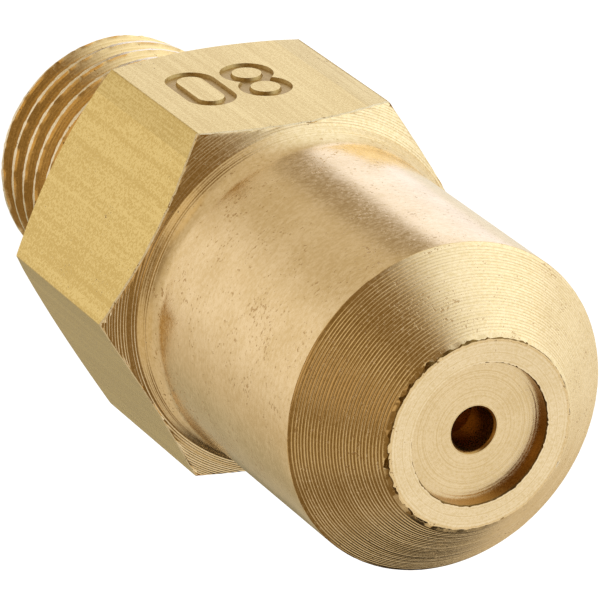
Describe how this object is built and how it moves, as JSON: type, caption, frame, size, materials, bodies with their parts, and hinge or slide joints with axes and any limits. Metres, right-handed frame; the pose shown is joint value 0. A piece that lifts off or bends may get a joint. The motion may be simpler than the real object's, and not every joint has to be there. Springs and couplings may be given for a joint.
{
  "type": "oil burner nozzle",
  "caption": "Turned brass nozzle with a hexagon, short inlet thread and coned nose, holding an orifice disc, swirl distributor, spring-loaded anti-drip valve and inlet strainer.",
  "frame": {"origin": "on the axis, in the plane of the seat shoulder behind the hexagon, where the inlet thread begins", "axes": "+Z out of the nose along the spray; the flat of the hexagon that carries the size mark faces -Y"},
  "size_m": [0.0162, 0.014, 0.031],
  "materials": {
    "body_brass": "bright turned and drawn free-cutting brass",
    "disc_brass": "bright turned brass",
    "inner_brass": "turned brass",
    "spring_steel": "stainless spring wire",
    "seal_rubber": "black nitrile rubber",
    "strainer_steel": "stainless strainer gauze"
  },
  "bodies": {
    "nozzle": {"nozzle_body": "body_brass", "orifice_disc": "disc_brass", "swirl_distributor": "inner_brass", "lock_screw": "inner_brass", "spring_washer": "spring_steel", "valve_spring": "spring_steel", "valve_seat": "inner_brass", "seat_seal_ring": "seal_rubber", "strainer_adapter": "inner_brass", "adapter_seal_ring": "seal_rubber", "strainer_core": "inner_brass", "strainer_mesh": "strainer_steel", "strainer_end_cap": "inner_brass"},
    "poppet": {"valve_poppet": "inner_brass", "poppet_seal": "seal_rubber"}
  },
  "joints": [
    {"name": "valve_opening", "type": "slide", "parent": "nozzle", "child": "poppet", "axis": [0, 0, 1], "range_m": [0, 0.0008], "stiffness_N_per_m": 200, "springref_m": -0.002, "deforming": ["valve_spring"]}
  ]
}
